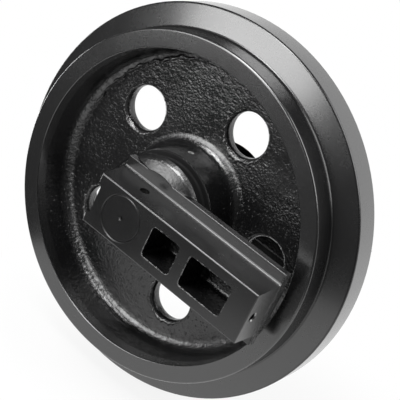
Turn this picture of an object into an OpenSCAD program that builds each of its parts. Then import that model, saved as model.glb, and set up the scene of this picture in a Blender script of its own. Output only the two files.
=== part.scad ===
// Front idler of a tracked excavator: a cast wheel with a centre guide flange turns on a fixed axle.
// A sliding bracket stands at each end of the axle and bolts to the track tensioner's yoke.
// Wheel axis along Y, brackets reaching back along +X to the yoke, Z up, origin at the wheel's centre.
// Paired pieces are drawn on the +Y side and mirrored for the other side.

/* [Rim] */
// Diameter over the centre flange that runs between the track links
flange_dia = 480; // [472:1:490]
// Diameter of the two treads that the track links roll on
tread_dia = 420; // [412:1:428]
// Width over both rim faces
rim_width = 120; // [112:1:126]
// Width of the centre flange where it meets the treads
flange_base_width = 53; // [48:0.5:58]
// Width of the centre flange at its top
flange_top_width = 37; // [32:0.5:42]
// Radial thickness of the rim at its face
rim_thickness = 22; // [19:0.5:25]
// Casting draft of the rim's inner wall, in degrees
rim_draft = 6; // [3:0.5:8]
// Hollow radius between tread and flange
tread_fillet = 4; // [2:0.5:6]
// Radius on the flange's top edges
flange_round = 3; // [1.5:0.5:4]
// Radius on the outer edge of the rim faces
rim_round = 2.5; // [1.5:0.5:4]
// Radius on the inner edge of the rim faces
rim_lip_round = 1.5; // [1:0.5:3]

/* [Web and hub] */
// Thickness of the web disc
web_thickness = 16; // [14:0.5:19]
// Casting fillet between web and rim, and between web and hub
web_fillet = 14; // [10:0.5:17]
// Number of holes through the web
hole_count = 5; // [3:1:6]
// Diameter of the web holes
hole_dia = 55; // [50:1:58]
// Diameter of the circle the web holes lie on
hole_circle_dia = 248; // [240:1:256]
// Radius on the edges of the web holes
hole_round = 6; // [4:0.5:7]
// Direction of the first web hole, in degrees from +X towards +Z
hole_phase = 1.5; // [-10:0.5:10]
// Diameter of the hub at its shoulders
hub_dia = 139; // [135:1:144]
// Width over the hub's shoulders
hub_width = 114; // [110:1:116]
// Casting draft of the hub's outside, in degrees
hub_draft = 3; // [1:0.5:5]
// Radius on the edge of the hub's shoulders
hub_round = 2; // [1:0.5:3]
// Diameter of the turned spigot that carries the seal at each end of the hub
spigot_dia = 122; // [116:1:128]
// Length of the spigot in front of the hub's shoulder
spigot_length = 16; // [14:0.5:17]
// Hollow radius between spigot and shoulder
spigot_fillet = 3; // [2:0.5:3]
// Radius on the outer edge of the spigot
spigot_round = 1.5; // [0.5:0.5:2]

/* [Axle and bushes] */
// Diameter of the axle
axle_dia = 54; // [51:0.5:56]
// Chamfer on the axle's ends
axle_chamfer = 1.2; // [0.8:0.1:1.6]
// Depth of the axle's ends below the brackets' outer faces
axle_recess = 0.4; // [0.2:0.1:0.8]
// Diameter of the centre drilling at the mouth
centre_dia = 5.4; // [4.4:0.2:6.4]
// Diameter of the centre drilling below its cone
centre_pilot_dia = 2.4; // [1.6:0.2:3.2]
// Angle of the centre drilling's cone, in degrees
centre_angle = 60; // [50:5:90]
// Wall thickness of the flanged bushes
bush_wall = 5; // [4:0.5:6]
// Length of a bush inside the hub
bush_length = 44; // [38:1:48]
// Thickness of a bush's flange
bush_flange_thickness = 5; // [4:0.5:6]
// Radial width of a bush's flange
bush_flange_width = 8; // [6.5:0.5:8.5]
// Radial play of a bush's flange in its recess in the hub
bush_flange_play = 0.5; // [0.3:0.1:0.8]
// Depth of the bushes' running faces below the seal seats
bush_sink = 2; // [1:0.25:3]
// Radial depth of the oil space between the bushes
oil_depth = 4; // [3:0.5:6]
// Radial running clearance of the bushes on the axle
run_clear = 0.05; // [0.03:0.01:0.08]
// Axial gap between a bush's flange and the bracket's collar
thrust_gap = 0.3; // [0.2:0.1:0.6]
// Radial clearance of pieces that are pressed or pinned together
fit_clear = 0.02; // [0.01:0.01:0.04]
// Radius that breaks the edges of the turned pieces
edge_break = 0.5; // [0.3:0.1:0.7]
// Diameter of the oil plug in the hub
plug_dia = 8; // [7:0.5:9]
// Distance of the oil plug from the wheel's middle plane
plug_offset = 32; // [30:0.5:36]
// Direction of the oil plug around the hub, in degrees from +X towards +Z
plug_angle = 97; // [84:1:108]
// Length of the oil plug
plug_length = 9; // [7:0.5:11]
// Depth of the oil plug's head below the hub's surface
plug_sink = 0.8; // [0.5:0.1:1.5]
// Width across flats of the oil plug's socket
plug_socket = 4; // [3:0.5:4.5]
// Diameter of the oil drilling under the plug
oil_drill_dia = 4.8; // [3.6:0.1:5]

/* [Seals] */
// Width of the open slot between the hub's spigot and the bracket's boss
seal_slot = 3.5; // [3:0.25:5]
// Radial gap between the bracket's collar and the metal seal rings
ring_clear = 1.5; // [1:0.25:2]
// Radial width of a seal ring's running flange
ring_flange_width = 7.5; // [7:0.25:8]
// Radial thickness of a seal ring behind its flange
ring_neck = 5; // [4.8:0.1:5.4]
// Radial thickness of a seal ring at its tail
ring_tail = 4; // [3.6:0.1:4.4]
// Radial distance from a seal ring's bore to the floor of its seat
seat_width = 10; // [9.75:0.25:10.5]
// Radial flare of the seat from its floor to its mouth
seat_flare = 1.5; // [1:0.1:2]
// Radius in the outer corner of the seats
seat_corner = 2.5; // [1.5:0.5:3]
// Radius on the mouth of the seat in the spigot
seat_edge = 1; // [0.5:0.25:1.5]
// Gap between the two running faces of a seal
seal_gap = 0.1; // [0.06:0.02:0.2]
// Length of one metal seal ring along the axle
ring_length = 9.5; // [9:0.25:9.75]
// Thickness of a seal ring's running flange
ring_flange_thickness = 3; // [2.5:0.25:3.25]
// Depth of the seal's seat in the spigot and in the boss
seat_depth = 8.5; // [8.25:0.25:9]
// Clearance of the rubber rings in their seats
rubber_clear = 0.05; // [0.03:0.01:0.1]
// Depth of the rubber ring's groove in the axle
groove_depth = 2.8; // [2.4:0.1:3.2]
// Width of that groove
groove_width = 4.8; // [4.4:0.1:5.4]
// Distance of that groove behind the bracket's outer face
groove_setback = 43; // [40:0.5:46]

/* [Bracket] */
// Width over the outer faces of both brackets
bracket_span = 270; // [267:1:276]
// Distance from the axle's centre forward to the bracket's nose
nose_reach = 45; // [42:0.5:48]
// Distance from the axle's centre back to the yoke face
yoke_reach = 190; // [184:1:200]
// Height of the sliding block at its outer face
block_height = 65; // [62:0.5:68]
// Depth of the sliding block in front of the guide plate
block_depth = 44; // [41:0.5:46]
// Casting draft of the block's long sides and of the nose, in degrees
block_draft = 3; // [1:0.5:4]
// Radius on the block's outer edges
block_round = 2; // [1:0.25:3]
// Hollow radius between block and guide plate
guide_fillet = 3; // [2:0.5:4]
// Height of the guide plate over its long edges
guide_height = 98; // [94:1:100]
// Thickness of the guide plate
guide_thickness = 10; // [8:0.5:11]
// Radius on the guide plate's long edges
guide_round = 0.8; // [0.5:0.1:1.5]
// Height of the cast backing behind the guide plate
backing_height = 46; // [42:1:50]
// Depth of the cast backing behind the guide plate
backing_depth = 6; // [4:0.5:7]
// How far each long side of the backing leans out towards the guide plate
backing_lean = 2; // [1:0.5:3]
// Radius on the backing's long edges
backing_round = 4; // [2:0.5:4]
// Hollow radius between backing and guide plate
backing_fillet = 2; // [1:0.5:2]
// Radius of the round swell of the guide plate around the axle
swell_radius = 52; // [51:0.25:54]
// Hollow radius that leads the plate's edge into the swell
swell_blend = 12; // [8:1:16]
// Diameter of the seal boss at its inner end
boss_dia = 137; // [133:1:140]
// Diameter of the seal boss at its shoulder, where it turns in towards the guide plate
boss_shoulder_dia = 128; // [125:1:130]
// Distance of that shoulder from the boss's inner end
boss_shoulder_depth = 6.5; // [5.5:0.25:7]
// Radius on the boss's shoulder
boss_shoulder_round = 10; // [6:1:14]
// Radius on the boss's inner edge
boss_round = 0.8; // [0.5:0.1:1.5]
// Depth of the boss's foot inside the guide plate's face and its swell
boss_foot = 0.8; // [0.5:0.1:1.2]
// Radial width of the clear ring around the boss, cut from the backing
boss_relief = 3; // [2:0.5:4]
// Wall of the collar that reaches into the hub
collar_wall = 7; // [6.5:0.25:7.5]
// Hollow radius between the collar and the floor of the seat
collar_fillet = 1.5; // [1:0.25:1.75]
// Radial clearance of the axle in the bracket
seat_clear = 0.04; // [0.02:0.01:0.08]
// Depth of the notch in the bracket's nose
notch_depth = 5; // [3:0.5:7]
// Height of the notch's floor
notch_height = 34; // [28:1:40]

/* [Bracket pockets and holes] */
// Distance from the axle's centre to the first pocket
pocket_start = 42; // [40:0.5:45]
// Length of the first pocket
pocket_length = 41.5; // [38:0.5:44]
// Rib between the two pockets
pocket_rib = 14.5; // [12:0.5:17]
// Wall between the second pocket and the yoke face
end_wall = 30; // [28:0.5:34]
// Height of both pockets
pocket_height = 40; // [36:0.5:43]
// Depth of both pockets
pocket_depth = 46; // [42:0.5:47]
// Corner radius of both pockets
pocket_round = 5; // [3:0.5:7]
// Diameter of the lock pin through bracket and axle
pin_dia = 12; // [10:0.5:13]
// Length of the lock pin
pin_length = 56; // [50:1:60]
// Chamfer on the lock pin's ends
pin_chamfer = 1; // [0.6:0.1:1.4]
// Distance of the lock pin behind the bracket's outer face
pin_setback = 25; // [22:0.5:27]
// Core diameter of the M12 hole in the yoke face
yoke_hole_dia = 10.2; // [8.5:0.1:12]
// Depth of the hole in the yoke face
yoke_hole_depth = 22; // [18:0.5:24]
// Distance of the hole behind the bracket's outer face
yoke_hole_setback = 13; // [12:0.5:16]
// Countersink on the mouth of the hole in the yoke face
yoke_hole_chamfer = 1.3; // [0.8:0.1:1.8]

/* [Hidden] */
$fn = 96;

// Degrees of arc between two points of a rounded corner
arc_step = 11.25;
// Extra length of a cutting body past the face it opens
past = 1;
// Straight steps in each arc of the guide plate's swell
swell_steps = 5;
// Point angle of the drill that bores a blind hole, in degrees
drill_point = 118;
// Height at which a web hole's rounding ends above the web, as a share of its radius
hole_lip = 0.1;

cast_black = [0.05, 0.05, 0.055];
dark_steel = [0.3, 0.3, 0.31];
ground_steel = [0.5, 0.5, 0.52];
bronze = [0.55, 0.42, 0.2];
rubber_black = [0.03, 0.03, 0.03];

flange_r = flange_dia / 2;
tread_r = tread_dia / 2;
rim_face = rim_width / 2;
hub_end = hub_width / 2;
web_face = web_thickness / 2;
rim_lip_r = tread_r - rim_thickness;
rim_root_r = rim_lip_r - (rim_face - web_face) * tan(rim_draft);
hub_r = hub_dia / 2;
spigot_r = spigot_dia / 2;
spigot_end = hub_end + spigot_length;
hub_root_r = hub_r + (hub_end - web_face) * tan(hub_draft);
hole_r = hole_dia / 2;

axle_r = axle_dia / 2;
axle_end = bracket_span / 2 - axle_recess;
bush_r = axle_r + bush_wall;
bush_flange_r = bush_r + bush_flange_width;
oil_r = bush_r + oil_depth;
collar_r = axle_r + collar_wall;
bracket_bore_r = axle_r + seat_clear;

seal_plane = spigot_end + seal_slot / 2;
hub_seat = spigot_end - seat_depth;
bush_face = hub_seat - bush_sink;
bush_seat = bush_face - bush_flange_thickness;
bush_tail = bush_seat - bush_length;
collar_end = bush_face + thrust_gap;
ring_r = collar_r + ring_clear;
ring_flange_r = ring_r + ring_flange_width;
ring_neck_r = ring_r + ring_neck;
ring_tail_r = ring_r + ring_tail;
seat_floor_r = ring_r + seat_width;
seat_mouth_r = seat_floor_r + seat_flare;

// The rubber ring sits midway between the cone of the metal ring and the cone of its seat.
rubber_at = (ring_flange_thickness + ring_length) / 2;
rubber_inner_r = (ring_neck_r + ring_tail_r) / 2;
rubber_outer_r = seat_floor_r + seat_flare * (seat_depth + seal_slot / 2 - rubber_at) / seat_depth;
cone_tilt = atan(seat_flare / seat_depth);
rubber_thick_r = (rubber_outer_r - rubber_inner_r) / 2 * cos(cone_tilt) - rubber_clear;
groove_r = axle_r - groove_depth;
groove_at = bracket_span / 2 - groove_setback;
groove_half = groove_width / 2;
axle_rubber_r = (bracket_bore_r - groove_r - seat_clear) / 2;

plug_r = plug_dia / 2;
plug_seat_r = hub_r + (hub_end - plug_offset) * tan(hub_draft);
oil_drill_r = oil_drill_dia / 2;

outer_face = bracket_span / 2;
guide_face = outer_face - block_depth;
guide_back = guide_face - guide_thickness;
backing_face = guide_back - backing_depth;
boss_face = spigot_end + seal_slot;
boss_r = boss_dia / 2;
boss_seat = boss_face + seat_depth;
block_root = block_height / 2 + block_depth * tan(block_draft);
nose_root = nose_reach + block_depth * tan(block_draft);
pin_at = outer_face - pin_setback;
yoke_hole_at = outer_face - yoke_hole_setback;
second_pocket = pocket_start + pocket_length + pocket_rib;
second_length = yoke_reach - end_wall - second_pocket;
yoke_hole_r = yoke_hole_dia / 2;
pin_r = pin_dia / 2;

// First two numbers of a corner given as [x, y, radius]
function place(c) = [c[0], c[1]];

// Angle between the two sides that meet at p
function opening(a, p, b) = acos((a - p) * (b - p) / norm(a - p) / norm(b - p));

// Arc of radius r that rounds the corner a-p-b, from one tangent point to the other
function corner_arc(a, p, b, r) =
    let (half = opening(a, p, b) / 2)
    let (ua = (a - p) / norm(a - p))
    let (ub = (b - p) / norm(b - p))
    let (centre = p + (ua + ub) / norm(ua + ub) * r / sin(half))
    let (first = p + ua * r / tan(half) - centre)
    let (start = atan2(first[1], first[0]))
    let (sweep = sign(cross(p - a, b - p)) * (180 - 2 * half))
    let (n = max(2, ceil(abs(sweep) / arc_step)))
    [for (i = [0:n]) centre + r * [cos(start + sweep * i / n), sin(start + sweep * i / n)]];

// Closed outline with every corner [x, y, radius] rounded
function rounded(c) =
    let (n = len(c))
    [for (i = [0:n - 1])
        let (p = place(c[i]))
        each c[i][2] > 0
            ? corner_arc(place(c[(i + n - 1) % n]), p, place(c[(i + 1) % n]), c[i][2])
            : [p]];

// A half outline followed by its mirror image in the second number, back to front
function both_halves(h) = concat(h, [for (i = [len(h) - 1:-1:0]) [h[i][0], -h[i][1], h[i][2]]]);

// Turns an outline of [radius, distance along the axle] about the wheel's axis.
module about_axle() {
    rotate([-90, 0, 0])
        rotate_extrude()
            children();
}

// Runs an outline of [distance along the axle, height] along X.
module along_x(from, to) {
    translate([from, 0, 0])
        rotate([90, 0, 90])
            linear_extrude(to - from)
                children();
}

// Runs an outline of [X, height] along the axle.
module along_axle(from, to) {
    translate([0, to, 0])
        rotate([90, 0, 0])
            linear_extrude(to - from)
                children();
}

// Draws its children on the right side, or mirrored on the left.
module side(left) {
    if (left)
        mirror([0, 1, 0])
            children();
    else
        children();
}

// Puts its children at the mouth of the oil plug's hole, pointing out of the hub.
module at_plug() {
    rotate([0, 90 - plug_angle, 0])
        translate([0, -plug_offset, plug_seat_r])
            children();
}

// Hole through the web with both edges rounded over.
module web_hole() {
    lip = web_face + hole_round * hole_lip;
    flare_r = hole_r + hole_round + past;
    half = [
        [0, lip + past, 0],
        [flare_r, lip + past, 0],
        [flare_r, lip, 0],
        [hole_r, lip, hole_round]];
    about_axle()
        polygon(rounded(both_halves(half)));
}

module wheel_casting() {
    half = [
        [oil_r, bush_tail, 0],
        [bush_r, bush_tail, 0],
        [bush_r, bush_seat, 0],
        [bush_flange_r + bush_flange_play, bush_seat, 0],
        [bush_flange_r + bush_flange_play, hub_seat, 0],
        [seat_floor_r, hub_seat, seat_corner],
        [seat_mouth_r, spigot_end, seat_edge],
        [spigot_r, spigot_end, spigot_round],
        [spigot_r, hub_end, spigot_fillet],
        [hub_r, hub_end, hub_round],
        [hub_root_r, web_face, web_fillet],
        [rim_root_r, web_face, web_fillet],
        [rim_lip_r, rim_face, rim_lip_round],
        [tread_r, rim_face, rim_round],
        [tread_r, flange_base_width / 2, tread_fillet],
        [flange_r, flange_top_width / 2, flange_round]];
    color(cast_black)
        difference() {
            about_axle()
                polygon(rounded(both_halves(half)));
            for (i = [0:hole_count - 1])
                rotate([0, -hole_phase - i * 360 / hole_count, 0])
                    translate([hole_circle_dia / 2, 0, 0])
                        web_hole();
            at_plug()
                translate([0, 0, -plug_length - plug_sink - past])
                    cylinder(h = plug_length + plug_sink + 2 * past, r = plug_r + fit_clear);
            at_plug()
                translate([0, 0, bush_r - plug_seat_r - past])
                    cylinder(h = plug_seat_r - bush_r, r = oil_drill_r);
        }
}

// Flanged bush with an oil hole in line with the hub's plug.
module bush() {
    difference() {
        about_axle()
            polygon(rounded([
                [axle_r + run_clear, bush_tail, edge_break],
                [bush_r - fit_clear, bush_tail, 2 * edge_break],
                [bush_r - fit_clear, bush_seat, 0],
                [bush_flange_r, bush_seat, 0],
                [bush_flange_r, bush_face, edge_break],
                [axle_r + run_clear, bush_face, edge_break]]));
        rotate([0, 90 - plug_angle, 0])
            translate([0, plug_offset, 0])
                cylinder(h = bush_flange_r, r = oil_drill_r);
    }
}

// Metal seal ring on the hub's side of the seal plane: running flange, then a cone for the rubber ring.
module seal_ring() {
    face = seal_gap / 2;
    translate([0, seal_plane, 0])
        mirror([0, 1, 0])
            about_axle()
                polygon(rounded([
                    [ring_r, face, 0],
                    [ring_flange_r, face, edge_break],
                    [ring_flange_r, ring_flange_thickness, edge_break],
                    [ring_neck_r, ring_flange_thickness, edge_break],
                    [ring_tail_r, ring_length, edge_break],
                    [ring_r, ring_length, edge_break]]));
}

// Rubber ring that presses the metal ring on the hub's side.
module rubber_ring() {
    translate([0, seal_plane - rubber_at, 0])
        about_axle()
            translate([(rubber_inner_r + rubber_outer_r) / 2, 0])
                circle(r = rubber_thick_r);
}

// Reflects its children in the seal plane, so that a hub ring becomes the bracket's ring.
module across_seal() {
    translate([0, 2 * seal_plane, 0])
        mirror([0, 1, 0])
            children();
}

module axle_rubber_ring() {
    translate([0, groove_at, 0])
        about_axle()
            translate([(groove_r + bracket_bore_r) / 2, 0])
                circle(r = axle_rubber_r);
}

module axle() {
    centre_r = centre_dia / 2;
    pilot_r = centre_pilot_dia / 2;
    cone_depth = (centre_r - pilot_r) / tan(centre_angle / 2);
    half = [
        [axle_r, groove_at - groove_half, 0],
        [groove_r, groove_at - groove_half, 0],
        [groove_r, groove_at + groove_half, 0],
        [axle_r, groove_at + groove_half, 0],
        [axle_r, axle_end - axle_chamfer, 0],
        [axle_r - axle_chamfer, axle_end, 0],
        [centre_r, axle_end, 0],
        [pilot_r, axle_end - cone_depth, 0],
        [pilot_r, axle_end - cone_depth - centre_r, 0],
        [0, axle_end - cone_depth - centre_r, 0]];
    color(dark_steel)
        difference() {
            about_axle()
                polygon(rounded(both_halves(half)));
            for (y = [-pin_at, pin_at])
                translate([0, y, -axle_dia])
                    cylinder(h = 2 * axle_dia, r = pin_r + fit_clear);
        }
}

module lock_pin() {
    translate([0, pin_at, 0])
        rotate_extrude()
            polygon(rounded(both_halves([
                [0, pin_length / 2, 0],
                [pin_r - pin_chamfer, pin_length / 2, 0],
                [pin_r, pin_length / 2 - pin_chamfer, 0]])));
}

// Block, guide plate and backing, where the outlines seen from the end, from above and from outside agree.
module bracket_body() {
    notch_floor = notch_depth - nose_reach;
    notch_half = notch_height / 2;
    far = guide_height;
    end_view = [
        [backing_face, backing_height / 2, backing_round],
        [guide_back, backing_height / 2 + backing_lean, backing_fillet],
        [guide_back, guide_height / 2, guide_round],
        [guide_face, guide_height / 2, guide_round],
        [guide_face, block_root, guide_fillet],
        [outer_face, block_height / 2, block_round]];
    top_view = [
        [-nose_root, backing_face - past, 0],
        [-nose_root, guide_face, 0],
        [-nose_reach, outer_face, block_round],
        [yoke_reach, outer_face, block_round],
        [yoke_reach, backing_face - past, 0]];
    outside_view = [
        [notch_floor, notch_half, notch_depth],
        [notch_floor - 2 * notch_depth, notch_half + 2 * notch_depth, 0],
        [notch_floor - 2 * notch_depth, far, 0],
        [yoke_reach + past, far, 0]];
    intersection() {
        along_x(-nose_root - past, yoke_reach + past)
            polygon(rounded(both_halves(end_view)));
        translate([0, 0, -far])
            linear_extrude(2 * far)
                polygon(rounded(top_view));
        along_axle(backing_face - past, outer_face + past)
            polygon(rounded(both_halves(outside_view)));
    }
}

// Round swell on one long edge of the guide plate: a hollow arc, the arc about the axle, a hollow arc.
module guide_swell() {
    edge = guide_height / 2;
    reach = swell_radius + swell_blend;
    blend_x = sqrt(reach * reach - pow(edge + swell_blend, 2));
    lean = acos(blend_x / reach);
    n = swell_steps;
    hollow = [for (i = [0:n - 1])
        let (t = (90 - lean) * i / n)
        [blend_x - swell_blend * sin(t), edge + swell_blend * (1 - cos(t))]];
    crown = [for (i = [0:n - 1])
        let (t = lean + (90 - lean) * i / n)
        swell_radius * [cos(t), sin(t)]];
    right = concat([[blend_x, edge - swell_blend]], hollow, crown);
    left = [for (i = [len(right) - 1:-1:0]) [-right[i][0], right[i][1]]];
    along_axle(guide_back, guide_face)
        polygon(concat(right, [[0, swell_radius]], left));
}

// Blind pocket with rounded corners and a rounded floor edge, opening towards the outer face.
module pocket(start, length) {
    x = [start + pocket_round, start + length - pocket_round];
    z = pocket_height / 2 - pocket_round;
    floor = outer_face - pocket_depth + pocket_round;
    height = pocket_depth - pocket_round + past;
    for (grow = pocket_round * [[1, 0, 0], [0, 1, 0], [0, 0, 1]])
        translate([x[0] - grow[0], floor - grow[1], -z - grow[2]])
            cube([x[1] - x[0] + 2 * grow[0], height + grow[1], 2 * z + 2 * grow[2]]);
    for (xi = x, zi = [-z, z])
        translate([xi, floor, zi]) {
            rotate([-90, 0, 0])
                cylinder(h = height, r = pocket_round);
            sphere(r = pocket_round);
        }
    for (zi = [-z, z])
        translate([x[0], floor, zi])
            rotate([0, 90, 0])
                cylinder(h = x[1] - x[0], r = pocket_round);
    for (xi = x)
        translate([xi, floor, -z])
            cylinder(h = 2 * z, r = pocket_round);
}

module bracket() {
    cut_from = min(boss_face, backing_face) - past;
    difference() {
        union() {
            difference() {
                bracket_body();
                pocket(pocket_start, pocket_length);
                pocket(second_pocket, second_length);
            }
            for (turn = [0, 180])
                rotate([0, turn, 0])
                    guide_swell();
            about_axle()
                polygon(rounded([
                    [0, boss_face, 0],
                    [boss_r, boss_face, boss_round],
                    [boss_shoulder_dia / 2, boss_face + boss_shoulder_depth, boss_shoulder_round],
                    [swell_radius - boss_foot, guide_face - boss_foot, 0],
                    [0, guide_face - boss_foot, 0]]));
            about_axle()
                polygon(rounded([
                    [0, collar_end, 0],
                    [collar_r, collar_end, 2 * edge_break],
                    [collar_r, boss_seat + past, 0],
                    [0, boss_seat + past, 0]]));
        }
        about_axle()
            polygon(rounded([
                [collar_r, cut_from, 0],
                [collar_r, boss_seat, collar_fillet],
                [seat_floor_r, boss_seat, seat_corner],
                [seat_mouth_r, boss_face, 0],
                [boss_r + boss_relief, boss_face, 0],
                [boss_r + boss_relief, cut_from, 0]]));
        about_axle()
            polygon([
                [0, collar_end - past],
                [bracket_bore_r, collar_end - past],
                [bracket_bore_r, outer_face - axle_chamfer],
                [bracket_bore_r + axle_chamfer + past, outer_face + past],
                [0, outer_face + past]]);
        translate([0, pin_at, -guide_height])
            cylinder(h = 2 * guide_height, r = pin_r + fit_clear);
        translate([yoke_reach, yoke_hole_at, 0])
            rotate([0, -90, 0])
                rotate_extrude()
                    polygon([
                        [0, -past],
                        [yoke_hole_r + yoke_hole_chamfer + past, -past],
                        [yoke_hole_r, yoke_hole_chamfer],
                        [yoke_hole_r, yoke_hole_depth],
                        [0, yoke_hole_depth + yoke_hole_r / tan(drill_point / 2)]]);
    }
}

module left_bush() {
    color(bronze)
        side(true)
            bush();
}

module right_bush() {
    color(bronze)
        side(false)
            bush();
}

module left_hub_seal_ring() {
    color(ground_steel)
        side(true)
            seal_ring();
}

module right_hub_seal_ring() {
    color(ground_steel)
        side(false)
            seal_ring();
}

module left_bracket_seal_ring() {
    color(ground_steel)
        side(true)
            across_seal()
                seal_ring();
}

module right_bracket_seal_ring() {
    color(ground_steel)
        side(false)
            across_seal()
                seal_ring();
}

module left_hub_rubber_ring() {
    color(rubber_black)
        side(true)
            rubber_ring();
}

module right_hub_rubber_ring() {
    color(rubber_black)
        side(false)
            rubber_ring();
}

module left_bracket_rubber_ring() {
    color(rubber_black)
        side(true)
            across_seal()
                rubber_ring();
}

module right_bracket_rubber_ring() {
    color(rubber_black)
        side(false)
            across_seal()
                rubber_ring();
}

module left_axle_rubber_ring() {
    color(rubber_black)
        side(true)
            axle_rubber_ring();
}

module right_axle_rubber_ring() {
    color(rubber_black)
        side(false)
            axle_rubber_ring();
}

module left_lock_pin() {
    color(dark_steel)
        side(true)
            lock_pin();
}

module right_lock_pin() {
    color(dark_steel)
        side(false)
            lock_pin();
}

module left_bracket() {
    color(cast_black)
        side(true)
            bracket();
}

module right_bracket() {
    color(cast_black)
        side(false)
            bracket();
}

// Plug with a hexagon socket, sunk a little below the hub's surface.
module hub_oil_plug() {
    socket_r = plug_socket / 2 / cos(30);
    color(dark_steel)
        at_plug()
            translate([0, 0, -plug_length - plug_sink])
                difference() {
                    cylinder(h = plug_length, r = plug_r);
                    translate([0, 0, plug_length / 2])
                        cylinder(h = plug_length, r = socket_r, $fn = 6);
                }
}

wheel_casting();
left_bush();
right_bush();
left_hub_seal_ring();
right_hub_seal_ring();
left_hub_rubber_ring();
right_hub_rubber_ring();
hub_oil_plug();
axle();
left_bracket();
right_bracket();
left_lock_pin();
right_lock_pin();
left_axle_rubber_ring();
right_axle_rubber_ring();
left_bracket_seal_ring();
right_bracket_seal_ring();
left_bracket_rubber_ring();
right_bracket_rubber_ring();
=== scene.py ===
# Front idler of a tracked excavator: black paint over cast and turned iron, on a white studio floor.
import math

import bpy
import bmesh
import numpy as np
from mathutils import Matrix, Vector


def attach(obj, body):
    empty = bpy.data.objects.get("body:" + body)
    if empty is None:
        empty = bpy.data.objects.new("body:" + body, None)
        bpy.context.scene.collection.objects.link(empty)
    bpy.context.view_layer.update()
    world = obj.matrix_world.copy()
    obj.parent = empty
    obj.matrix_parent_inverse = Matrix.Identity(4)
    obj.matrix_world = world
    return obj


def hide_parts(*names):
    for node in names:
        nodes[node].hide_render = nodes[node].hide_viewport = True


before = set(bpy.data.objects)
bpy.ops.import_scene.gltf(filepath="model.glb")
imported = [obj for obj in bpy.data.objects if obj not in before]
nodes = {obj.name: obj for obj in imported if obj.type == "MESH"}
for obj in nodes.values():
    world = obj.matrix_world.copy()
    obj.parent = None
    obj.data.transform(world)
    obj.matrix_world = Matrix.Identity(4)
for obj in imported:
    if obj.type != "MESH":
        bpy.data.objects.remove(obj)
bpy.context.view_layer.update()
fullTurn = 2 * math.pi
print("frame loaded:", len(nodes), "nodes")


# Node helpers. An input is a number, a colour or another node's socket.
def feed(tree, node, inputs):
    for key, value in inputs.items():
        if isinstance(value, bpy.types.NodeSocket):
            tree.links.new(value, node.inputs[key])
        else:
            node.inputs[key].default_value = value


def addNode(tree, kind, inputs=None, **settings):
    node = tree.nodes.new("ShaderNode" + kind)
    for key, value in settings.items():
        setattr(node, key, value)
    feed(tree, node, inputs or {})
    return node


def calc(tree, operation, first, second=0.0, third=0.0):
    return addNode(tree, "Math", {0: first, 1: second, 2: third}, operation=operation).outputs[0]


def fade(tree, value, low, high):   # 0 at low, 1 at high, smooth between
    return addNode(tree, "MapRange", {"Value": value, "From Min": low, "From Max": high},
                   interpolation_type="SMOOTHSTEP").outputs["Result"]


def noise(tree, vector, scale, **inputs):
    return addNode(tree, "TexNoise", {"Vector": vector, "Scale": scale, **inputs}).outputs[0]


def blend(tree, factor, first, second):   # number between first and second
    return addNode(tree, "Mix", {"Factor": factor, 2: first, 3: second}).outputs[0]


def blendColour(tree, factor, first, second, blendType="MIX"):
    return addNode(tree, "Mix", {"Factor": factor, 6: first, 7: second},
                   data_type="RGBA", blend_type=blendType).outputs[2]


def newGroup(name, inputs, outputs):
    tree = bpy.data.node_groups.new(name, "ShaderNodeTree")
    for label, kind, value in inputs:
        socket = tree.interface.new_socket(label, in_out="INPUT", socket_type="NodeSocket" + kind)
        if value is not None:
            socket.default_value = value
    for label, kind in outputs:
        tree.interface.new_socket(label, in_out="OUTPUT", socket_type="NodeSocket" + kind)
    return tree, tree.nodes.new("NodeGroupInput").outputs, tree.nodes.new("NodeGroupOutput").inputs


def useGroup(tree, group, inputs):
    node = tree.nodes.new("ShaderNodeGroup")
    node.node_tree = group
    feed(tree, node, inputs)
    return node.outputs


# Cast skin: sand-grain bumps with broader waves under them and a few proud grains. Height is in metres.
skinLook = {"cellsPerGrain": 0.8, "proudAbove": 0.75, "dome": (0.34, 0.05), "grainTone": 0.6, "waveTone": 0.4}


def makeCastSkin():
    tree, given, out = newGroup("castSkin", [
        ("Vector", "Vector", None), ("Grain Size", "Float", 0.003), ("Grain Depth", "Float", 0.0002),
        ("Wave Size", "Float", 0.014), ("Wave Depth", "Float", 0.0004), ("Proud", "Float", 0.0003)],
        [("Height", "Float"), ("Tone", "Float")])
    grainScale = calc(tree, "DIVIDE", 1.0, given["Grain Size"])
    grain = noise(tree, given["Vector"], grainScale, Detail=2.0, Roughness=0.5)
    waveScale = calc(tree, "DIVIDE", 1.0, given["Wave Size"])
    wave = noise(tree, given["Vector"], waveScale, Detail=1.5)
    cellScale = calc(tree, "DIVIDE", skinLook["cellsPerGrain"], given["Grain Size"])
    cells = addNode(tree, "TexVoronoi", {"Vector": given["Vector"], "Scale": cellScale})
    cellTone = addNode(tree, "SeparateColor", {"Color": cells.outputs["Color"]}).outputs[0]
    chosen = calc(tree, "GREATER_THAN", cellTone, skinLook["proudAbove"])
    dome = fade(tree, cells.outputs["Distance"], *skinLook["dome"])
    proud = calc(tree, "MULTIPLY", calc(tree, "MULTIPLY", chosen, dome), given["Proud"])
    rolling = calc(tree, "MULTIPLY_ADD", wave, given["Wave Depth"], proud)
    tree.links.new(calc(tree, "MULTIPLY_ADD", grain, given["Grain Depth"], rolling), out["Height"])
    waveTone = calc(tree, "MULTIPLY", wave, skinLook["waveTone"])
    tree.links.new(calc(tree, "MULTIPLY_ADD", grain, skinLook["grainTone"], waveTone), out["Tone"])
    return tree


# Turned finish: fine rings round the wheel's axis, broken up a little. Height is in metres.
turnedLook = {"driftScale": 30.0, "drift": 0.0006}


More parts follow.
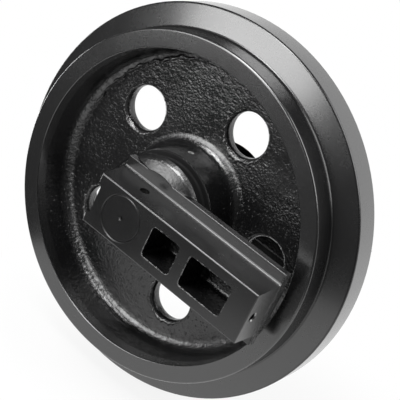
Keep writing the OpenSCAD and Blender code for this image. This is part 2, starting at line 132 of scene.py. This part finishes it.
def makeTurnedFinish():
    tree, given, out = newGroup("turnedFinish", [
        ("Vector", "Vector", None), ("Pitch", "Float", 0.0009), ("Depth", "Float", 0.000002)],
        [("Height", "Float")])
    axes = addNode(tree, "SeparateXYZ", {"Vector": given["Vector"]}).outputs
    square = calc(tree, "MULTIPLY_ADD", axes["X"], axes["X"], calc(tree, "MULTIPLY", axes["Z"], axes["Z"]))
    across = calc(tree, "ADD", calc(tree, "SQRT", square), axes["Y"])
    drift = noise(tree, given["Vector"], turnedLook["driftScale"])
    moved = calc(tree, "MULTIPLY_ADD", drift, turnedLook["drift"], across)
    turns = calc(tree, "DIVIDE", moved, given["Pitch"])
    ridges = calc(tree, "SINE", calc(tree, "MULTIPLY", turns, fullTurn))
    broken = calc(tree, "MULTIPLY", ridges, drift)
    tree.links.new(calc(tree, "MULTIPLY", broken, given["Depth"]), out["Height"])
    return tree


# Mottle: slow and fine variation of a finish, as a factor about 1 and as a 0 to 1 mask.
mottleLook = {"fineTimes": 14.0, "fineShare": 0.3, "slowShare": 0.7, "mask": (0.3, 0.7), "middle": 0.5}


def makeMottle():
    tree, given, out = newGroup("mottle", [
        ("Vector", "Vector", None), ("Size", "Float", 0.05), ("Spread", "Float", 0.3)],
        [("Factor", "Float"), ("Mask", "Float")])
    scale = calc(tree, "DIVIDE", 1.0, given["Size"])
    slow = noise(tree, given["Vector"], scale, Detail=4.0)
    fineScale = calc(tree, "MULTIPLY", scale, mottleLook["fineTimes"])
    fine = noise(tree, given["Vector"], fineScale, Detail=2.0)
    slowPart = calc(tree, "MULTIPLY", slow, mottleLook["slowShare"])
    both = calc(tree, "MULTIPLY_ADD", fine, mottleLook["fineShare"], slowPart)
    mask = fade(tree, both, *mottleLook["mask"])
    offset = calc(tree, "SUBTRACT", mask, mottleLook["middle"])
    tree.links.new(calc(tree, "MULTIPLY_ADD", offset, given["Spread"], 1.0), out["Factor"])
    tree.links.new(mask, out["Mask"])
    return tree


# Streaks: ridges across a ring, out from the wheel's axis, as run and fettled iron has them in a fillet.
streakLook = {"ring": 0.12, "mask": (0.4, 0.58)}


def makeStreaks():
    tree, given, out = newGroup("streaks", [
        ("Vector", "Vector", None), ("Width", "Float", 0.003), ("Depth", "Float", 0.0006),
        ("Length", "Float", 3.0)],
        [("Height", "Float"), ("Mask", "Float")])
    axes = addNode(tree, "SeparateXYZ", {"Vector": given["Vector"]}).outputs
    radial = addNode(tree, "CombineXYZ", {"X": axes["X"], "Z": axes["Z"]}).outputs[0]
    radius = addNode(tree, "VectorMath", {0: radial}, operation="LENGTH").outputs["Value"]
    heading = addNode(tree, "VectorMath", {0: radial}, operation="NORMALIZE").outputs["Vector"]
    outward = calc(tree, "ADD", radius, calc(tree, "ABSOLUTE", axes["Y"]))
    along = addNode(tree, "CombineXYZ", {"Y": calc(tree, "DIVIDE", outward, given["Length"])}).outputs[0]
    ring = addNode(tree, "VectorMath", {0: heading, "Scale": streakLook["ring"]},
                   operation="SCALE").outputs["Vector"]
    spot = addNode(tree, "VectorMath", {0: ring, 1: along}, operation="ADD").outputs["Vector"]
    lineScale = calc(tree, "DIVIDE", 1.0, given["Width"])
    lines = noise(tree, spot, lineScale, Detail=3.0, Roughness=0.6, Distortion=0.5)
    tree.links.new(calc(tree, "MULTIPLY", lines, given["Depth"]), out["Height"])
    tree.links.new(fade(tree, lines, *streakLook["mask"]), out["Mask"])
    return tree


castSkin = makeCastSkin()
streaks = makeStreaks()
turnedFinish = makeTurnedFinish()
mottle = makeMottle()
print("node groups made:", len(bpy.data.node_groups))


def newMaterial(name):
    material = bpy.data.materials.new(name)
    material.use_nodes = True
    tree = material.node_tree
    return material, tree, tree.nodes["Principled BSDF"]


# Black paint, led by face attributes: "cast" is 1 on raw casting and 0 on turned or milled faces, "band" is
# how streaky a cast fillet is, "bare" is 1 where the paint is gone, "dull" where grease roughens it and where
# a metal share darkens its reflections as painted shade, "gloss" where it lies thick, "worn" where it lost
# its gloss. A "strip" of raw skin has limits along x and across.
paintLook = {
    "dullRough": 0.75, "coarseLeast": 0.3, "coarseSpread": 1.3, "gritTone": (0.42, 0.56), "gritLeast": 0.6,
    "gritSpread": 0.4, "stripScale": 240.0, "stripRagged": 0.004, "stripEdge": 0.0004, "stripFade": 0.0012,
}


def rawStrip(tree, place, strip):   # 1 on the ragged strip, 0 elsewhere
    axes = addNode(tree, "SeparateXYZ", {"Vector": place}).outputs
    torn = noise(tree, place, paintLook["stripScale"])
    out = calc(tree, "MULTIPLY_ADD", torn, paintLook["stripRagged"], calc(tree, "ABSOLUTE", axes["Y"]))
    return calc(tree, "MULTIPLY", fade(tree, axes["X"], strip["x"] - paintLook["stripEdge"], strip["x"]),
                fade(tree, out, strip["out"] + paintLook["stripFade"], strip["out"]))


def makeBlackPaint(name, paint):
    material, tree, shader = newMaterial(name)
    place = addNode(tree, "TexCoord").outputs["Object"]
    cast, band, bare, dull, gloss, worn = [
        addNode(tree, "Attribute", attribute_name=label).outputs["Fac"]
        for label in ("cast", "band", "bare", "dull", "gloss", "worn")]
    if "strip" in paint:
        cast = calc(tree, "MAXIMUM", cast, rawStrip(tree, place, paint["strip"]))
    stretched = addNode(tree, "Mapping", {"Vector": place, "Scale": paint["stretch"]},
                        vector_type="POINT").outputs[0]
    skin = useGroup(tree, castSkin, {"Vector": stretched, "Grain Size": paint["grainSize"],
                                     "Grain Depth": paint["grainDepth"], "Wave Size": paint["waveSize"],
                                     "Wave Depth": paint["waveDepth"], "Proud": paint["proud"]})
    rings = useGroup(tree, turnedFinish, {"Vector": place, "Pitch": paint["ringPitch"],
                                          "Depth": paint["ringDepth"]})
    patches = useGroup(tree, mottle, {"Vector": place, "Size": paint["patchSize"],
                                      "Spread": paint["patchSpread"]})
    run = useGroup(tree, streaks, {"Vector": place, "Width": paint["streakWidth"],
                                   "Depth": paint["streakDepth"], "Length": paint["streakLength"]})

    tint = blendColour(tree, cast, paint["machined"], paint["raw"])
    shade = blendColour(tree, 1.0, tint, patches["Factor"], "MULTIPLY")
    tree.links.new(blendColour(tree, bare, shade, paint["steel"]), shader.inputs["Base Color"])
    # Painted shade: on dull faces the paint turns partly metal, and its black colour darkens their
    # reflections.
    paintedShade = calc(tree, "MULTIPLY", dull, paint["paintedShadeMetal"])   # a black metal reflects less than black paint
    tree.links.new(calc(tree, "MAXIMUM", bare, paintedShade), shader.inputs["Metallic"])
    rough = blend(tree, cast, paint["machinedRough"], paint["rawRough"])
    rough = blend(tree, dull, rough, paintLook["dullRough"])
    tree.links.new(calc(tree, "MULTIPLY", rough, patches["Factor"]), shader.inputs["Roughness"])

    depth = calc(tree, "MULTIPLY_ADD", patches["Mask"], paintLook["coarseSpread"], paintLook["coarseLeast"])
    coarse = calc(tree, "MULTIPLY", skin["Height"], depth)
    surface = blend(tree, cast, rings["Height"], coarse)
    height = calc(tree, "MULTIPLY_ADD", run["Height"], band, surface)
    bump = addNode(tree, "Bump", {"Strength": 1.0, "Distance": 1.0, "Height": height})
    tree.links.new(bump.outputs["Normal"], shader.inputs["Normal"])
    shader.inputs["IOR"].default_value = paint["ior"]

    uncoated = calc(tree, "MAXIMUM", calc(tree, "MAXIMUM", cast, dull), worn)
    even = calc(tree, "MULTIPLY", calc(tree, "SUBTRACT", 1.0, uncoated), paint["coat"])
    broken = calc(tree, "MULTIPLY_ADD", band, calc(tree, "SUBTRACT", run["Mask"], 1.0), 1.0)
    grit = fade(tree, skin["Tone"], *paintLook["gritTone"])
    gritty = calc(tree, "MULTIPLY_ADD", grit, paintLook["gritSpread"], paintLook["gritLeast"])
    thick = calc(tree, "MULTIPLY", gloss, calc(tree, "MULTIPLY", broken, gritty))
    tree.links.new(calc(tree, "MAXIMUM", even, thick), shader.inputs["Coat Weight"])
    shader.inputs["Coat Roughness"].default_value = paint["coatRough"]
    return material


# Bare metal or rubber of the inner pieces.
def makePlain(name, look):
    material, tree, shader = newMaterial(name)
    place = addNode(tree, "TexCoord").outputs["Object"]
    patches = useGroup(tree, mottle, {"Vector": place, "Size": look["patchSize"],
                                      "Spread": look["patchSpread"]})
    rings = useGroup(tree, turnedFinish, {"Vector": place, "Pitch": look["ringPitch"],
                                          "Depth": look["ringDepth"]})
    shade = blendColour(tree, patches["Mask"], look["dark"], look["light"])
    tree.links.new(shade, shader.inputs["Base Color"])
    tree.links.new(calc(tree, "MULTIPLY", patches["Factor"], look["rough"]), shader.inputs["Roughness"])
    bump = addNode(tree, "Bump", {"Strength": 1.0, "Distance": 1.0, "Height": rings["Height"]})
    tree.links.new(bump.outputs["Normal"], shader.inputs["Normal"])
    shader.inputs["Metallic"].default_value = look["metal"]
    return material


# Mesh helpers.
meshLook = {"skinWeld": 1e-6, "gridWeld": 1e-7, "sharpAngle": 30, "normalWeight": 100}


def setMasks(mesh, masks):   # one number per face, or one for all faces
    for label, values in masks.items():
        layer = mesh.attributes.new(label, "FLOAT", "FACE")
        spread = np.broadcast_to(np.asarray(values, np.float32), len(mesh.polygons))
        layer.data.foreach_set("value", np.ascontiguousarray(spread))


def faceValues(mesh, label):   # a row of three per face
    values = np.zeros(len(mesh.polygons) * 3)
    mesh.polygons.foreach_get(label, values)
    return values.reshape(-1, 3)


# A painted piece is its CAD skin with the face patches welded, so that each fillet shades as one round.
def paintedCopy(node, name, body, faceMasks, material):
    mesh = nodes[node].data.copy()
    mesh.name = name
    skin = bmesh.new()
    skin.from_mesh(mesh)
    bmesh.ops.remove_doubles(skin, verts=skin.verts, dist=meshLook["skinWeld"])
    skin.to_mesh(mesh)
    skin.free()
    if "custom_normal" in mesh.attributes:
        mesh.attributes.remove(mesh.attributes["custom_normal"])
    mesh.shade_smooth()
    mesh.set_sharp_from_angle(angle=math.radians(meshLook["sharpAngle"]))
    setMasks(mesh, faceMasks(faceValues(mesh, "center"), faceValues(mesh, "normal")))
    mesh.materials.clear()
    mesh.materials.append(material)
    piece = bpy.data.objects.new(name, mesh)
    bpy.context.scene.collection.objects.link(piece)
    even = piece.modifiers.new("evenNormals", "WEIGHTED_NORMAL")
    even.keep_sharp = True
    even.weight = meshLook["normalWeight"]
    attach(piece, body)
    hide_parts(node)
    return piece


def gridMesh(name, points):   # a smooth mesh from an array of points, sheets by rows by columns by 3
    sheets, rows, columns = points.shape[:3]
    index = np.arange(sheets * rows * columns).reshape(sheets, rows, columns)
    quads = np.stack([index[:, :-1, :-1], index[:, 1:, :-1], index[:, 1:, 1:], index[:, :-1, 1:]], axis=-1)
    mesh = bpy.data.meshes.new(name)
    mesh.from_pydata(points.reshape(-1, 3).tolist(), [], quads.reshape(-1, 4).tolist())
    skin = bmesh.new()
    skin.from_mesh(mesh)
    bmesh.ops.remove_doubles(skin, verts=skin.verts, dist=meshLook["gridWeld"])
    bmesh.ops.recalc_face_normals(skin, faces=skin.faces)
    skin.to_mesh(mesh)
    skin.free()
    mesh.shade_smooth()
    obj = bpy.data.objects.new(name, mesh)
    bpy.context.scene.collection.objects.link(obj)
    return obj


def castTrace(name, points, masks, material, body):   # flash, seam or burr on a painted piece
    piece = gridMesh(name, points)
    setMasks(piece.data, masks)
    piece.data.materials.append(material)
    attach(piece, body)
    print(name + ":", len(piece.data.polygons), "faces")


def ragged(dice, turn, lumps, least):   # mean of cosines of the turn, each with a random height and start
    total = 0
    for count in lumps:
        height = dice.uniform(least, 1) / len(lumps)
        total = total + height * np.cos(count * turn + dice.uniform(0, 6))
    return total


# Wheel: raw casting inside the rim, apart from the turned shoulder and spigot of the hub.
wheel = {
    "rimLip": 0.1867, "shoulderOut": 0.0561, "shoulderRadius": 0.0692,
    "hubBand": (0.0716, 0.0875), "hubStreaks": 0.45, "rimBand": 0.1665, "bandOut": 0.0235, "flatWeb": 0.999,
    "tread": (0.2085, 0.212), "treadOut": 0.0585, "flangeEdge": 0.2382, "edgeLean": 0.05,
    "paint": {
        "machined": (0.005, 0.005, 0.0052, 1), "raw": (0.004, 0.004, 0.0042, 1), "steel": (0.4, 0.4, 0.4, 1),
        # the metal share on dull faces darkens the reflections of the hub's turned shoulder and spigot, as
        # painted shade
        "machinedRough": 0.26, "rawRough": 0.24, "ior": 1.65, "coat": 1.0, "coatRough": 0.2, "paintedShadeMetal": 0.7,
        "grainSize": 0.0027, "grainDepth": 0.0005, "waveSize": 0.016, "waveDepth": 0.0003, "proud": 0.0007,
        "streakWidth": 0.0032, "streakDepth": 0.0009, "streakLength": 3.0, "stretch": (1, 1, 1),
        "ringPitch": 0.0009, "ringDepth": 0.000002, "patchSize": 0.07, "patchSpread": 0.25,
    },
}


def wheelMasks(centre, normal):
    radius = np.hypot(centre[:, 0], centre[:, 2])
    out, lean = np.abs(centre[:, 1]), np.abs(normal[:, 1])
    inside = radius < wheel["rimLip"]
    turned = (out > wheel["shoulderOut"]) & (radius < wheel["shoulderRadius"])
    inner, outer = wheel["hubBand"]
    fillet = ((radius > inner) & (radius < outer)) | (radius > wheel["rimBand"])
    fillet &= inside & (out < wheel["bandOut"]) & (lean < wheel["flatWeb"])
    low, high = wheel["tread"]
    worn = (radius > low) & (radius < high) & (out < wheel["treadOut"])
    worn |= (radius > wheel["flangeEdge"]) & (lean > wheel["edgeLean"])
    # The turned shoulder and spigot are dull, and the paint's metal share darkens their reflections as
    # painted shade.
    return {"cast": inside & ~turned, "dull": turned, "gloss": fillet, "worn": worn,
            "band": fillet * np.where(radius < outer, wheel["hubStreaks"], 1.0)}


wheelPaint = makeBlackPaint("wheelPaint", wheel["paint"])
wheelPiece = paintedCopy("wheel_casting", "idlerWheel", "wheel", wheelMasks, wheelPaint)
print("wheel painted:", len(wheelPiece.data.polygons), "faces")


# Casting flash round the web holes: a bead whose width and height swell on one side and run in lumps. A point
# is the hole's centre plus (edge + width s) along the turn t, and height sin(pi s) less a buried foot, off
# the web.
flash = {
    "holes": 5, "ring": 0.124, "first": 1.5, "web": 0.008, "edge": 0.0288, "width": 0.007, "height": 0.0026,
    "foot": 0.0005, "thickSide": 254, "thickSpread": 25, "lumps": (5, 9, 14, 23, 37), "least": 0.3, "seed": 4,
    "mean": 0.45, "swing": 0.55, "lumpShare": 0.8, "limits": (0.05, 1.5), "steps": (145, 9),
    "masks": {"cast": 1.0, "band": 1.0, "gloss": 1.0, "bare": 0.03},
}


def flashBeads():
    dice = np.random.default_rng(flash["seed"])
    along, across = flash["steps"]
    t, s = np.meshgrid(np.linspace(0, fullTurn, along), np.linspace(0, 1, across), indexing="ij")
    beads = []
    for hole in range(flash["holes"]):
        turn = math.radians(360 / flash["holes"] * hole + flash["first"])
        for side in (-1, 1):
            spread = flash["thickSpread"]
            swing = np.cos(t - math.radians(flash["thickSide"] + dice.uniform(-spread, spread)))
            lump = ragged(dice, t, flash["lumps"], flash["least"])
            size = flash["mean"] + flash["swing"] * swing + flash["lumpShare"] * lump
            size = np.clip(size, *flash["limits"])
            reach = flash["edge"] + flash["width"] * size * s
            rise = flash["height"] * size * np.sin(math.pi * s) - flash["foot"]
            beads.append(np.stack([flash["ring"] * math.cos(turn) + reach * np.cos(t),
                                   side * (flash["web"] + rise),
                                   flash["ring"] * math.sin(turn) + reach * np.sin(t)], axis=-1))
    return np.array(beads)


castTrace("holeFlash", flashBeads(), flash["masks"], wheelPaint, "wheel")


# Core seam in the corner of rim and web: a ragged ridge along an arc, round in section and partly sunk in the
# fillet. A point is the ring at the turn t, plus size cos(a) along the radius and size sin(a) off the web.
seam = {
    "ring": 0.1735, "out": 0.0102, "from": 96, "to": 168, "size": 0.0016, "lumps": (9, 17, 31, 52, 83),
    "least": 0.4, "seed": 7, "mean": 0.7, "lumpShare": 1.6, "limits": (0.15, 1.6), "taper": 0.3,
    "wanderLumps": 4, "wander": 0.0032, "steps": (241, 11), "masks": {"cast": 1.0, "gloss": 1.0},
}


def seamRidge():
    dice = np.random.default_rng(seam["seed"])
    along, section = seam["steps"]
    arc = np.radians(np.linspace(seam["from"], seam["to"], along))
    t, around = np.meshgrid(arc, np.linspace(0, fullTurn, section), indexing="ij")
    share = (t - t.min()) / (t.max() - t.min())
    lump = ragged(dice, t, seam["lumps"], seam["least"])
    wander = ragged(dice, t, seam["lumps"][:seam["wanderLumps"]], seam["least"])
    size = seam["size"] * np.clip(seam["mean"] + seam["lumpShare"] * lump, *seam["limits"])
    size = size * np.sin(math.pi * share) ** seam["taper"]
    ring = seam["ring"] + seam["wander"] * wander + size * np.cos(around)
    out = seam["out"] + size * np.sin(around)
    return np.stack([ring * np.cos(t), -out, ring * np.sin(t)], axis=-1)[None]


castTrace("coreSeam", seamRidge(), seam["masks"], wheelPaint, "wheel")


# Brackets: raw casting on the seal boss, on the backing and in the pockets, milled elsewhere.
bracket = {
    "plateBack": 0.0808, "plateFront": 0.0905, "plateEdge": 0.0495, "swell": 0.0524, "outerFace": 0.1345,
    "pocketHalf": 0.0203, "pockets": [(0.0415, 0.084), (0.0975, 0.1605)],
    "yokeHole": {"out": 0.122, "from": 0.0049, "to": 0.0068, "x": 0.186, "flat": 0.95},
    "axleRing": {"radius": 0.0295, "out": 0.1325, "flat": 0.99, "dull": 0.4},
    "nook": {"out": (0.0905, 0.0945), "z": (0.034, 0.0385)}, "edgeOut": 0.132, "slant": 0.05,
    "bossCast": 0.4, "bossGloss": 0.7, "edgeWorn": 0.6,
    "paint": {
        "machined": (0.005, 0.005, 0.0052, 1), "raw": (0.004, 0.004, 0.0042, 1), "steel": (0.2, 0.2, 0.2, 1),
        "machinedRough": 0.25, "rawRough": 0.26, "ior": 1.6, "coat": 0.3, "coatRough": 0.3, "paintedShadeMetal": 0.0,
        "grainSize": 0.003, "grainDepth": 0.0006, "waveSize": 0.011, "waveDepth": 0.0003, "proud": 0.0003,
        "streakWidth": 0.003, "streakDepth": 0.0006, "streakLength": 3.0, "stretch": (1, 0.6, 1),
        "ringPitch": 0.0008, "ringDepth": 0.000002, "patchSize": 0.05, "patchSpread": 0.25,
        "strip": {"x": 0.1885, "out": 0.0935},
    },
}


def between(values, limits):
    return (values > limits[0]) & (values < limits[1])


def bracketMasks(centre, normal):
    x, out, z = centre[:, 0], np.abs(centre[:, 1]), np.abs(centre[:, 2])
    leanOut, leanUp = np.abs(normal[:, 1]), np.abs(normal[:, 2])
    radius = np.hypot(x, z)
    boss = (radius > bracket["swell"]) & (z > bracket["plateEdge"]) & (out < bracket["plateFront"])
    inPocket = np.zeros(len(x), bool)
    for pocket in bracket["pockets"]:
        inPocket |= between(x, pocket)
    inPocket &= (z < bracket["pocketHalf"]) & (out < bracket["outerFace"])
    raw = (out < bracket["plateBack"]) | boss | inPocket
    hole = bracket["yokeHole"]
    reach = np.hypot(out - hole["out"], z)
    chamfer = (x > hole["x"]) & between(reach, (hole["from"], hole["to"])) & (normal[:, 0] < hole["flat"])
    ring = bracket["axleRing"]
    joint = (radius < ring["radius"]) & (out > ring["out"]) & (leanOut < ring["flat"])
    slant = (leanOut > bracket["slant"]) & (leanUp > bracket["slant"])
    nook = slant & between(out, bracket["nook"]["out"]) & between(z, bracket["nook"]["z"])
    edge = slant & (out > bracket["edgeOut"]) & (z > bracket["pocketHalf"])
    return {"cast": np.where(boss, bracket["bossCast"], raw), "bare": chamfer, "dull": joint * ring["dull"],
            "gloss": boss * bracket["bossGloss"], "worn": np.maximum(nook, edge * bracket["edgeWorn"])}


bracketPaint = makeBlackPaint("bracketPaint", bracket["paint"])
for side in ("left", "right"):
    paintedCopy(side + "_bracket", side + "Bracket", "carrier", bracketMasks, bracketPaint)
print("brackets painted")


# Chipped edges of the pockets: a thin ragged bead along a rounded rectangle. The outline is four quarter
# rounds joined by straights and laid out by length. A point is the outline plus size cos(a) across it and a
# flatter size sin(a) off the face, with the size largest at the lower corner towards the axle.
burr = {
    "mouths": [(0.042, 0.0835, 0.02), (0.098, 0.16, 0.02)], "round": 0.005, "face": 0.1349, "size": 0.0008,
    "lumps": (11, 19, 34, 55, 89), "least": 0.4, "seed": 11, "lumpShare": 1.4, "limits": (0.08, 1.5),
    "flatness": 0.3, "cornerSteps": 9, "steps": (361, 8), "masks": {"cast": 1.0, "bare": 0.7},
}
cornerSigns = np.array([(1, 1), (-1, 1), (-1, -1), (1, -1)])[:, None, :]


def mouthOutline(length, half):   # x and z about the mouth's middle, and the share of the way round
    heading = (np.arange(4)[:, None] + np.linspace(0, 1, burr["cornerSteps"])) * math.pi / 2
    inset = np.array([length / 2, half]) - burr["round"]
    corners = cornerSigns * inset + burr["round"] * np.stack([np.cos(heading), np.sin(heading)], axis=-1)
    corners = corners.reshape(-1, 2)
    corners = np.concatenate([corners, corners[:1]])
    way = np.concatenate([[0], np.cumsum(np.linalg.norm(np.diff(corners, axis=0), axis=1))])
    even = np.linspace(0, way[-1], burr["steps"][0])
    return np.interp(even, way, corners[:, 0]), np.interp(even, way, corners[:, 1]), even / way[-1]


def burrBeads():
    dice = np.random.default_rng(burr["seed"])
    around = np.linspace(0, fullTurn, burr["steps"][1])
    beads = []
    for start, end, half in burr["mouths"]:
        x, z, share = mouthOutline(end - start, half)
        along = np.stack([np.gradient(x), np.gradient(z)])
        along /= np.linalg.norm(along, axis=0)
        low = 0.5 - 0.5 * (x / (end - start) + z / half / 2)   # 1 at that corner, 0 at the far one
        for side in (-1, 1):
            lump = ragged(dice, share * fullTurn, burr["lumps"], burr["least"])
            size = burr["size"] * np.clip(low + burr["lumpShare"] * lump, *burr["limits"])[:, None]
            reach = size * np.cos(around)
            beads.append(np.stack([(start + end) / 2 + x[:, None] + along[1][:, None] * reach,
                                   side * (burr["face"] + burr["flatness"] * size * np.sin(around)),
                                   z[:, None] - along[0][:, None] * reach], axis=-1))
    return np.array(beads)


castTrace("pocketBurr", burrBeads(), burr["masks"], bracketPaint, "carrier")


# Axle: in the brackets' paint, with a dull ring at each end and bare metal in the centre drilling.
axle = {"drilling": 0.02}


def axleMasks(centre, normal):
    radius = np.hypot(centre[:, 0], centre[:, 2])
    ring = bracket["axleRing"]
    slant = (np.abs(centre[:, 1]) > ring["out"]) & (np.abs(normal[:, 1]) < ring["flat"])
    return {"dull": slant * ring["dull"] * (radius > axle["drilling"]),
            "bare": slant & (radius < axle["drilling"])}


paintedCopy("axle", "axlePainted", "carrier", axleMasks, bracketPaint)
print("axle painted")

plainLooks = {
    "bushBronze": {"dark": (0.42, 0.28, 0.11, 1), "light": (0.6, 0.43, 0.2, 1), "rough": 0.34, "metal": 1.0,
                   "patchSize": 0.02, "patchSpread": 0.3, "ringPitch": 0.0006, "ringDepth": 0.000003},
    "sealSteel": {"dark": (0.42, 0.42, 0.43, 1), "light": (0.56, 0.56, 0.57, 1), "rough": 0.2, "metal": 1.0,
                  "patchSize": 0.02, "patchSpread": 0.3, "ringPitch": 0.0004, "ringDepth": 0.0000015},
    "oiledSteel": {"dark": (0.2, 0.2, 0.2, 1), "light": (0.36, 0.35, 0.34, 1), "rough": 0.3, "metal": 1.0,
                   "patchSize": 0.006, "patchSpread": 0.4, "ringPitch": 0.0006, "ringDepth": 0.000003},
    "plugSteel": {"dark": (0.25, 0.25, 0.25, 1), "light": (0.5, 0.5, 0.49, 1), "rough": 0.4, "metal": 0.4,
                  "patchSize": 0.006, "patchSpread": 0.4, "ringPitch": 0.0006, "ringDepth": 0.000003},
    "rubber": {"dark": (0.012, 0.012, 0.012, 1), "light": (0.024, 0.024, 0.024, 1), "rough": 0.6,
               "metal": 0.0, "patchSize": 0.008, "patchSpread": 0.3, "ringPitch": 0.0012,
               "ringDepth": 0.000004},
}
plain = {name: makePlain(name, look) for name, look in plainLooks.items()}
finishOf = {"bush": "bushBronze", "seal_ring": "sealSteel", "rubber_ring": "rubber",
            "lock_pin": "oiledSteel", "oil_plug": "plugSteel"}
for name, obj in nodes.items():
    for ending, finish in finishOf.items():
        if name.endswith(ending):
            obj.data.materials.clear()
            obj.data.materials.append(plain[finish])
print("inner pieces dressed")


# Camera: close to the photograph's own, in whose frame the bracket slopes 28.9 degrees.
shot = {"lens": 111.02, "sensor": 36, "distance": 1.49297, "azimuth": 34.25, "elevation": 9.907,
        "slope": -28.9, "aimRight": 0.014604, "aimUp": 0.001884}
slope = math.radians(shot["slope"])
photoToPart = Matrix(((math.cos(slope), 0, math.sin(slope)),
                      (0, 1, 0),
                      (-math.sin(slope), 0, math.cos(slope))))


# Direction in the part's frame, with azimuth 0 in front of the wheel and 90 at its right.
def towards(azimuth, elevation):
    a, e = math.radians(azimuth), math.radians(elevation)
    return photoToPart @ Vector((math.sin(a) * math.cos(e), -math.cos(a) * math.cos(e), math.sin(e)))


def facing(place, target, upward):   # matrix at place whose -Z looks at target
    back = (place - target).normalized()
    right = upward.cross(back).normalized()
    return Matrix.Translation(place) @ Matrix((right, back.cross(right), back)).transposed().to_4x4()


photoUp = photoToPart @ Vector((0, 0, 1))
back = towards(shot["azimuth"], shot["elevation"])
right = photoUp.cross(back).normalized()
aim = right * shot["aimRight"] + back.cross(right) * shot["aimUp"]
camera = bpy.data.objects.new("camera", bpy.data.cameras.new("camera"))
camera.data.lens = shot["lens"]
camera.data.sensor_width = shot["sensor"]
camera.matrix_world = facing(back * shot["distance"], aim, photoUp)
bpy.context.scene.collection.objects.link(camera)
bpy.context.scene.camera = camera


# Softboxes: place as seen from the wheel in the photograph's frame, size in metres, glow as radiance.
softboxes = {
    "frontLeft": {"azimuth": -15, "elevation": 24, "roll": 15, "distance": 1.5,
                  "size": (0.98, 0.96), "glow": 6.1},
    "topRight": {"azimuth": 26, "elevation": 56, "roll": 0, "distance": 0.9,
                 "size": (0.45, 0.33), "glow": 17.0},
    "rightWall": {"azimuth": 100, "elevation": 22, "roll": 0, "distance": 1.6,
                  "size": (1.3, 1.3), "glow": 3.8},
    "leftStrip": {"azimuth": -102, "elevation": 14, "roll": 0, "distance": 1.6,
                  "size": (0.35, 0.8), "glow": 7.0},
}
for name, box in softboxes.items():
    lamp = bpy.data.lights.new(name, "AREA")
    lamp.shape = "RECTANGLE"
    lamp.size, lamp.size_y = box["size"]
    lamp.energy = box["glow"] * math.pi * lamp.size * lamp.size_y
    holder = bpy.data.objects.new(name, lamp)
    place = towards(box["azimuth"], box["elevation"]) * box["distance"]
    holder.matrix_world = facing(place, Vector((0, 0, 0)), towards(90, 90 - box["roll"]))
    holder.visible_camera = False
    bpy.context.scene.collection.objects.link(holder)
print("camera and", len(softboxes), "softboxes set")


# White surroundings: full white to the eye and in reflections, a softer level as fill light.
surround = {"fill": 0.2, "white": (1, 1, 1, 1)}


def seenDirectly(tree):   # 1 for camera, glossy and transmission rays
    path = addNode(tree, "LightPath").outputs
    return calc(tree, "MAXIMUM", path["Is Camera Ray"],
                calc(tree, "MAXIMUM", path["Is Glossy Ray"], path["Is Transmission Ray"]))


world = bpy.data.worlds.new("studio")
bpy.context.scene.world = world
world.use_nodes = True
air = world.node_tree
air.nodes["Background"].inputs["Color"].default_value = surround["white"]
strength = calc(air, "MULTIPLY_ADD", seenDirectly(air), 1 - surround["fill"], surround["fill"])
air.links.new(strength, air.nodes["Background"].inputs["Strength"])

# Floor: a square of parameters u, v drawn out to a disc, x = u sqrt(1 - v v / 2), y = v sqrt(1 - u u / 2).
floorLook = {"centre": (0.3, -0.1, -0.2405), "reach": 0.54, "colour": (0.8, 0.8, 0.8, 1), "rough": 0.9,
             "shine": 0.1, "shadowShare": 0.14, "shadowFade": (0.5, 0.98), "steps": 33}
evenSteps = np.linspace(-1, 1, floorLook["steps"])
u, v = np.meshgrid(evenSteps, evenSteps, indexing="ij")
disc = np.stack([u * np.sqrt(1 - v * v / 2), v * np.sqrt(1 - u * u / 2), np.zeros_like(u)], axis=-1)
floor = gridMesh("floor", (disc * floorLook["reach"] + np.array(floorLook["centre"]))[None])
floorMaterial, tree, shader = newMaterial("paleFloor")
shader.inputs["Base Color"].default_value = floorLook["colour"]
shader.inputs["Roughness"].default_value = floorLook["rough"]
shader.inputs["Specular IOR Level"].default_value = floorLook["shine"]
place = addNode(tree, "TexCoord").outputs["Object"]
spot = addNode(tree, "VectorMath", {0: place, 1: floorLook["centre"]}, operation="DISTANCE").outputs["Value"]
nearEnd, farEnd = floorLook["shadowFade"]
outward = fade(tree, spot, floorLook["reach"] * nearEnd, floorLook["reach"] * farEnd)
glow = addNode(tree, "Emission", {"Color": surround["white"], "Strength": 1.0}).outputs[0]
plainWhite = calc(tree, "MULTIPLY_ADD", outward, floorLook["shadowShare"], 1 - floorLook["shadowShare"])
share = calc(tree, "MULTIPLY", seenDirectly(tree), plainWhite)
both = addNode(tree, "MixShader", {0: share, 1: shader.outputs[0], 2: glow}).outputs[0]
tree.links.new(both, tree.nodes["Material Output"].inputs["Surface"])
floor.data.materials.append(floorMaterial)

# Dark room on the camera's side, seen in reflections only: a sphere's cap, by tilt from its axis and turn.
room = {"radius": 3.2, "axis": (0, 35), "fromAngle": 1, "halfAngle": 108, "level": 0.1, "steps": (33, 65)}
tiltSteps, turnSteps = room["steps"]
tilt, turn = np.meshgrid(np.radians(np.linspace(room["fromAngle"], room["halfAngle"], tiltSteps)),
                         np.linspace(0, fullTurn, turnSteps), indexing="ij")
axis = towards(*room["axis"])
across = axis.cross(photoUp).normalized()
capAxes = np.array([across, axis.cross(across), axis])
cap = np.stack([np.sin(tilt) * np.cos(turn), np.sin(tilt) * np.sin(turn), np.cos(tilt)], axis=-1) @ capAxes
darkRoom = gridMesh("darkRoom", (cap * room["radius"])[None])
roomMaterial, tree, shader = newMaterial("roomGrey")
shader.inputs["Base Color"].default_value = (0, 0, 0, 1)
shader.inputs["Roughness"].default_value = 1.0
shader.inputs["Specular IOR Level"].default_value = 0.0
shader.inputs["Emission Color"].default_value = surround["white"]
shader.inputs["Emission Strength"].default_value = room["level"]
darkRoom.data.materials.append(roomMaterial)
darkRoom.visible_camera = False
darkRoom.visible_diffuse = False
darkRoom.visible_shadow = False
darkRoom.visible_transmission = False
bpy.context.scene.view_settings.view_transform = "Standard"
print("surroundings set")
